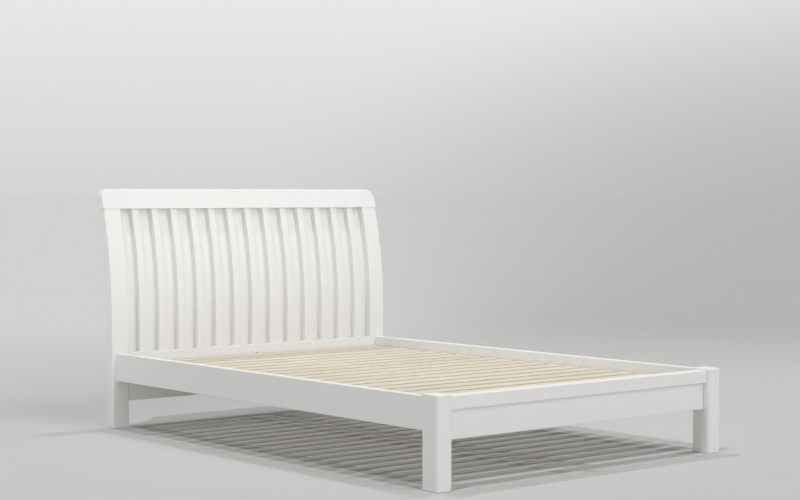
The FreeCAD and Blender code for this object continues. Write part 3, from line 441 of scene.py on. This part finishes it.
def drive_screws(name, places, headings, size, node):
    """Makes a group of like screws in place of a packed group.

    Each screw is the screw surface turned so that its -Z runs along its heading, and moved to its place.
    """
    points, faces = screw_surface(size)
    places, headings = np.array(places, float), np.array(headings, float)
    # An upright screw has its side along X, any other along Z.
    side = np.where(np.abs(headings[:, 2:]) > 0.5, [1.0, 0.0, 0.0], [0.0, 0.0, 1.0])
    third = np.cross(-headings, side)
    turned = (points[None, :, :1] * side[:, None] + points[None, :, 1:2] * third[:, None]
              - points[None, :, 2:] * headings[:, None])
    moved = (turned + places[:, None]).reshape(-1, 3)
    shifts = np.arange(len(places))[:, None, None] * len(points)
    piece = new_piece(name, moved, (faces[None] + shifts).reshape(-1, 4), zinc_plate())
    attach(piece, "root")
    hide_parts(node)


class BED_OT_head_posts(bpy.types.Operator):
    """Paint the two headboard posts"""

    bl_idname = "bed.head_posts"
    bl_label = "Paint head posts"

    def execute(self, context):
        dress(["head_post_left", "head_post_right"], sprayed_paint("Z"))
        return {"FINISHED"}


class BED_OT_head_cap(bpy.types.Operator):
    """Paint the swept cap on top of the headboard"""

    bl_idname = "bed.head_cap"
    bl_label = "Paint head cap"

    def execute(self, context):
        dress(["head_cap"], sprayed_paint("X"))
        return {"FINISHED"}


class BED_OT_headboard_bars(bpy.types.Operator):
    """Paint the swept bars of the headboard"""

    bl_idname = "bed.headboard_bars"
    bl_label = "Paint headboard bars"

    def execute(self, context):
        dress(BARS, sprayed_paint("Z"))
        return {"FINISHED"}


class BED_OT_headboard_panel(bpy.types.Operator):
    """Paint the thin panel behind the bars"""

    bl_idname = "bed.headboard_panel"
    bl_label = "Paint headboard panel"

    def execute(self, context):
        dress(["headboard_panel"], sprayed_paint("Z"))
        return {"FINISHED"}


class BED_OT_head_rail(bpy.types.Operator):
    """Paint the deep lower rail of the headboard"""

    bl_idname = "bed.head_rail"
    bl_label = "Paint head rail"

    def execute(self, context):
        dress(["head_rail"], sprayed_paint("X"))
        return {"FINISHED"}


class BED_OT_foot_legs(bpy.types.Operator):
    """Paint the two legs at the foot"""

    bl_idname = "bed.foot_legs"
    bl_label = "Paint foot legs"

    def execute(self, context):
        dress(["foot_leg_left", "foot_leg_right"], sprayed_paint("Z"))
        return {"FINISHED"}


class BED_OT_foot_boards(bpy.types.Operator):
    """Paint the thick rail at the foot and the panel under it"""

    bl_idname = "bed.foot_boards"
    bl_label = "Paint foot rail and panel"

    def execute(self, context):
        dress(["foot_rail", "foot_panel"], sprayed_paint("X"))
        return {"FINISHED"}


class BED_OT_side_rails(bpy.types.Operator):
    """Paint the two long side rails"""

    bl_idname = "bed.side_rails"
    bl_label = "Paint side rails"

    def execute(self, context):
        dress(["side_rail_left", "side_rail_right"], sprayed_paint("Y"))
        return {"FINISHED"}


class BED_OT_slats(bpy.types.Operator):
    """Plane the slats from pine, each from its own log"""

    bl_idname = "bed.slats"
    bl_label = "Plane slats"

    def execute(self, context):
        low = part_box(SLATS[0])[0]
        dress(SLATS, planed_pine("slats", "X", low.y, SLAT_PITCH, SLAT_WIDTH, low.z))
        return {"FINISHED"}


class BED_OT_ledgers(bpy.types.Operator):
    """Plane the ledgers and the centre beam that carry the slats from pine"""

    bl_idname = "bed.ledgers"
    bl_label = "Plane ledgers and beam"

    def execute(self, context):
        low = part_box("ledger_left")[0]
        beam_low, beam_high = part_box("centre_beam")
        pine = planed_pine("ledgers and beam", "Y", low.x, beam_low.x - low.x, beam_high.x - beam_low.x, low.z)
        dress(["ledger_left", "ledger_right", "centre_beam"], pine)
        return {"FINISHED"}


class BED_OT_beam_hangers(bpy.types.Operator):
    """Coat the two stirrups that carry the ends of the centre beam"""

    bl_idname = "bed.beam_hangers"
    bl_label = "Coat beam hangers"

    def execute(self, context):
        dress(["beam_hanger_head", "beam_hanger_foot"], powder_coat())
        return {"FINISHED"}


class BED_OT_rail_plates(bpy.types.Operator):
    """Plate the rails' hook plates, the posts' slot plates and the plates' screws"""

    bl_idname = "bed.rail_plates"
    bl_label = "Plate rail plates"

    def execute(self, context):
        dress(["rail_hook_plates", "post_slot_plates", "plate_screws"], zinc_plate())
        return {"FINISHED"}


class BED_OT_cap_dowels(bpy.types.Operator):
    """Turn the dowels between the cap and the posts from beech"""

    bl_idname = "bed.cap_dowels"
    bl_label = "Turn cap dowels"

    def execute(self, context):
        dress(["cap_dowels"], turned_beech())
        return {"FINISHED"}


class BED_OT_slat_screws(bpy.types.Operator):
    """Drive a screw through each slat end into its ledger"""

    bl_idname = "bed.slat_screws"
    bl_label = "Drive slat screws"

    def execute(self, context):
        low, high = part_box("slat_screws")
        line = high.x - context.scene.bed_screws.head / 2
        middles = [(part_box(name)[0].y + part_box(name)[1].y) / 2 for name in SLATS]
        places = [(side * line, middle, high.z) for side in (-1, 1) for middle in middles]
        drive_screws("driven_slat_screws", places, [(0, 0, -1)] * len(places), high.z - low.z, "slat_screws")
        return {"FINISHED"}


class BED_OT_ledger_screws(bpy.types.Operator):
    """Drive the screws that hold each ledger to its side rail"""

    bl_idname = "bed.ledger_screws"
    bl_label = "Drive ledger screws"

    def execute(self, context):
        low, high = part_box("ledger_screws")
        radius = context.scene.bed_screws.head / 2
        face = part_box("ledger_right")[0].x
        level = (low.z + high.z) / 2
        row = np.linspace(low.y + radius, high.y - radius, LEDGER_SCREWS)
        places = [(side * face, y, level) for side in (-1, 1) for y in row]
        headings = [(side, 0, 0) for side in (-1, 1) for y in row]
        drive_screws("driven_ledger_screws", places, headings, high.x - face, "ledger_screws")
        return {"FINISHED"}


class BED_OT_hanger_screws(bpy.types.Operator):
    """Drive the screws of the beam hangers: one in each flange and one in each cheek"""

    bl_idname = "bed.hanger_screws"
    bl_label = "Drive hanger screws"

    def execute(self, context):
        low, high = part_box("hanger_screws")
        radius = context.scene.bed_screws.head / 2
        flanges = {-1: low.y + HANGER_SCREW, 1: high.y - HANGER_SCREW}
        places = [(0, y, high.z - radius) for y in flanges.values()]
        headings = [(0, end, 0) for end in flanges]
        for end, y in flanges.items():
            for side in (-1, 1):
                places.append((side * high.x, y - end * CHEEK_INSET, low.z + radius))
                headings.append((-side, 0, 0))
        drive_screws("driven_hanger_screws", places, headings, HANGER_SCREW, "hanger_screws")
        return {"FINISHED"}


# Heights on the backdrop, as the sine of the angle above the horizon: where it is palest, and where the light from
# all round above it sets in and is full
PALEST, LIGHT_STARTS, LIGHT_FULL = 0.115, 0.15, 0.45
# How many times as fast the backdrop's shade fades upwards as sideways
UPWARD_FADE = 3.5
# The floor's faint gloss at a low angle hides part of the shade: that much more shade makes up for it.
FLOOR_SHADE = 1.08
# Radii of the floor's inner rings, and the number of its sides
FLOOR_RINGS, FLOOR_SIDES = (0.0, 2.0, 8.0), 96
# Width of the faint clouds on the floor
CLOUD = 0.9
# Where lamps like the sun hang. They shine alike from any place.
SUN_PLACE = (0, 0, 4)
# Lamps like the sun, by the stage's name for their strength: direction, and spread in degrees
SUNS = {
    "left": ((0.333, 0.09, -1.0), 1.2),
    "right": ((-0.371, -0.09, -1.0), 1.2),
    "head": ((0.0, -0.35, -1.0), 1.2),
    "front": ((-0.2, 0.75, -0.75), 30),
    "low_front": ((0.1, 0.95, -0.25), 40),
    "left_front": ((0.65, 0.7, -0.3), 50),
}
# Soft boxes, by the stage's name for their strength: place, direction, width, height, and spread in degrees
SOFT_BOXES = {
    "headboard": ((0, -1.0, 1.3), (0, 1, -0.15), 2.4, 0.6, 180),
    "rising": ((-0.1, 0.1, 0.45), (0.15, 0.8, 0.6), 1.8, 0.3, 100),
    "rail": ((-0.55, -0.15, 0.65), (1, -0.05, -0.3), 1.6, 0.3, 70),
    "post": ((-1.7, 1.05, 0.75), (1, 0, 0), 0.5, 0.9, 70),
}
# Width of the camera's sensor in millimetres, and how far it sees: past the floor's rim
SENSOR, SIGHT = 36.0, 5000.0


def side_shade(tree, heading, stage, share):
    """How much light a heading keeps: all of it, or less in the shade on the backdrop's right.

    The shade is strongest at one heading on the horizon and fades with the angle from it, faster upwards than
    sideways.
    """
    middle = (math.sin(stage.shade_heading), math.cos(stage.shade_heading), 0)
    steeper = add(tree, "ShaderNodeVectorMath", {0: heading, 1: (1, 1, UPWARD_FADE)},
                  operation="MULTIPLY").outputs[0]
    unit = add(tree, "ShaderNodeVectorMath", {0: steeper}, operation="NORMALIZE").outputs[0]
    nearness = add(tree, "ShaderNodeVectorMath", {0: unit, 1: middle}, operation="DOT_PRODUCT").outputs["Value"]
    return add(tree, "ShaderNodeMapRange", {"Value": nearness, "From Min": math.cos(stage.shade_reach),
                                            "To Min": 1.0, "To Max": 1 - share},
               interpolation_type="SMOOTHSTEP").outputs[0]


def studio_floor(stage):
    """A round floor: rings of points at radius and angle, all on the ground.

    To the eye: matt grey paper, faintly cloudy, that turns paler with distance and so meets the backdrop unseen.
    Its right side carries a painted shade.
    """
    material, empty = new_material("Matt studio floor")
    if empty:
        tree = material.node_tree
        place = add(tree, "ShaderNodeTexCoord").outputs["Object"]
        cloud = add(tree, "ShaderNodeTexNoise", {"Vector": place, "Scale": 1 / CLOUD, "Detail": 2.0}).outputs[0]
        tone = add(tree, "ShaderNodeMapRange", {"Value": cloud, "From Min": 0.3, "From Max": 0.7, "To Min": 0.99,
                                                "To Max": 1.01}).outputs[0]
        distance = add(tree, "ShaderNodeVectorMath", {0: place}, operation="LENGTH").outputs["Value"]
        far = add(tree, "ShaderNodeMapRange", {"Value": distance, "From Min": stage.floor_near,
                                               "From Max": stage.floor_far},
                  interpolation_type="SMOOTHSTEP").outputs[0]
        paper = add(tree, "ShaderNodeMix", {0: far, 6: (*stage.floor, 1), 7: (*stage.far_floor, 1)},
                    data_type="RGBA").outputs[2]
        # Painted shade: the floor's colour is darkened in a soft pool on its right side, as the backdrop is.
        kept = side_shade(tree, place, stage, FLOOR_SHADE * stage.shade)
        shaded = add(tree, "ShaderNodeMix", {0: far, 2: 1.0, 3: kept}).outputs[0]
        level = add(tree, "ShaderNodeMath", {0: tone, 1: shaded}, operation="MULTIPLY").outputs[0]
        grey = add(tree, "ShaderNodeHueSaturation", {"Color": paper, "Value": level}).outputs[0]
        close(tree, add(tree, "ShaderNodeBsdfPrincipled", {"Base Color": grey, "Roughness": 0.85}))
    angle = np.arange(FLOOR_SIDES) * 2 * math.pi / FLOOR_SIDES
    radius = np.array([*FLOOR_RINGS, stage.floor_reach])[:, None]
    points = np.stack([radius * np.cos(angle), radius * np.sin(angle), 0 * radius * angle], axis=-1).reshape(-1, 3)
    floor = new_piece("studio_floor", points, grid_faces(len(radius), FLOOR_SIDES), material)


def backdrop_light(stage):
    """The world: a backdrop that is paler higher up, with a painted shade on its right side that also dims its
    light from there, and even light from all round above it.
    """
    world = bpy.data.worlds.new("Studio")
    bpy.context.scene.world = world
    world.use_nodes = True
    tree = world.node_tree
    tree.nodes.clear()
    heading = add(tree, "ShaderNodeTexCoord").outputs["Generated"]
    split = add(tree, "ShaderNodeSeparateXYZ", {0: heading})
    height = split.outputs["Z"]
    rise = add(tree, "ShaderNodeMapRange", {"Value": height, "From Min": 0.0, "From Max": PALEST}).outputs[0]
    pale = add(tree, "ShaderNodeMix", {0: rise, 6: (*stage.backdrop, 1), 7: (*stage.backdrop_top, 1)},
               data_type="RGBA").outputs[2]
    above = add(tree, "ShaderNodeMapRange", {"Value": height, "From Min": LIGHT_STARTS,
                                             "From Max": LIGHT_FULL}).outputs[0]
    grey = add(tree, "ShaderNodeMix", {0: above, 6: pale, 7: (*stage.above, 1)}, data_type="RGBA").outputs[2]
    # Painted shade on the backdrop's right side, which also dims the world's light from there.
    kept = side_shade(tree, heading, stage, stage.shade)
    background = add(tree, "ShaderNodeBackground", {"Color": grey, "Strength": kept})
    add(tree, "ShaderNodeOutputWorld", {"Surface": background.outputs[0]})


def hang(lamp, place, towards):
    """Hangs a lamp at a place, turned to shine along a direction."""
    light = bpy.data.objects.new(lamp.name, lamp)
    flat = math.hypot(towards[0], towards[1])
    light.rotation_euler = (math.atan2(flat, -towards[2]), 0, math.atan2(-towards[0], towards[1]))
    light.location = place
    bpy.context.scene.collection.objects.link(light)


def hang_sun(name, towards, power, spread):
    """A lamp as even as sunlight along a direction, its disc spread over an angle in degrees."""
    lamp = bpy.data.lights.new(name, "SUN")
    lamp.energy = power
    lamp.angle = math.radians(spread)
    hang(lamp, SUN_PLACE, towards)


def hang_soft_box(name, place, towards, power, width, height, spread):
    """A lamp with an even face, its strength in watts and its beam spread over an angle in degrees."""
    lamp = bpy.data.lights.new(name, "AREA")
    lamp.energy = power
    lamp.shape = "RECTANGLE"
    lamp.size = width
    lamp.size_y = height
    lamp.spread = math.radians(spread)
    hang(lamp, place, towards)


def hang_lights(stage):
    """Narrow lamps above draw the shadows on the floor. Broad ones and soft boxes fill them."""
    for setting, (towards, spread) in SUNS.items():
        hang_sun(f"{setting}_light", towards, getattr(stage, setting), spread)
    for setting, (place, towards, width, height, spread) in SOFT_BOXES.items():
        hang_soft_box(f"{setting}_light", place, towards, getattr(stage, setting), width, height, spread)


class BED_OT_stage(bpy.types.Operator):
    """Set the bed on a plain floor with soft light, and place the camera"""

    bl_idname = "bed.stage"
    bl_label = "Set the stage"

    def execute(self, context):
        stage = context.scene.bed_stage
        studio_floor(stage)
        backdrop_light(stage)
        hang_lights(stage)
        data = bpy.data.cameras.new("camera")
        data.lens = stage.lens
        data.sensor_width = SENSOR
        data.sensor_fit = "HORIZONTAL"
        data.clip_end = SIGHT
        camera = bpy.data.objects.new("camera", data)
        camera.location = stage.camera
        camera.rotation_euler = (math.radians(90) - stage.tilt, 0, stage.heading)
        context.scene.collection.objects.link(camera)
        context.scene.camera = camera
        # Plain tone, so that white paint stays white.
        context.scene.view_settings.view_transform = "Standard"
        return {"FINISHED"}


OPERATORS = (BED_OT_head_posts, BED_OT_head_cap, BED_OT_headboard_bars, BED_OT_headboard_panel, BED_OT_head_rail,
             BED_OT_foot_legs, BED_OT_foot_boards, BED_OT_side_rails, BED_OT_slats, BED_OT_ledgers,
             BED_OT_beam_hangers, BED_OT_rail_plates, BED_OT_cap_dowels, BED_OT_slat_screws,
             BED_OT_ledger_screws, BED_OT_hanger_screws, BED_OT_stage)


class BED_PT_panel(bpy.types.Panel):
    """Lists the bed's steps and the sizes and colours that they use"""

    bl_idname = "BED_PT_panel"
    bl_label = "Wooden bed"
    bl_space_type = "VIEW_3D"
    bl_region_type = "UI"
    bl_category = "Bed"

    def draw(self, context):
        for group in (context.scene.bed_finishes, context.scene.bed_screws, context.scene.bed_stage):
            box = self.layout.box()
            for name in group.bl_rna.properties.keys():
                if name not in ("rna_type", "name"):
                    box.prop(group, name)
        for operator in OPERATORS:
            self.layout.operator(operator.bl_idname)


CLASSES = (BedFinishes, BedScrews, BedStage) + OPERATORS + (BED_PT_panel,)


def register():
    """Registers the classes and hangs the property groups on the scene."""
    for each in CLASSES:
        bpy.utils.register_class(each)
    bpy.types.Scene.bed_finishes = bpy.props.PointerProperty(type=BedFinishes)
    bpy.types.Scene.bed_screws = bpy.props.PointerProperty(type=BedScrews)
    bpy.types.Scene.bed_stage = bpy.props.PointerProperty(type=BedStage)


def unregister():
    """Takes the property groups and classes away again."""
    del bpy.types.Scene.bed_stage, bpy.types.Scene.bed_screws, bpy.types.Scene.bed_finishes
    for each in reversed(CLASSES):
        bpy.utils.unregister_class(each)


def main():
    """Makes and dresses every piece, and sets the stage."""
    register()
    for operator in OPERATORS:
        group, name = operator.bl_idname.split(".")
        getattr(getattr(bpy.ops, group), name)()


if __name__ == "__main__":
    main()
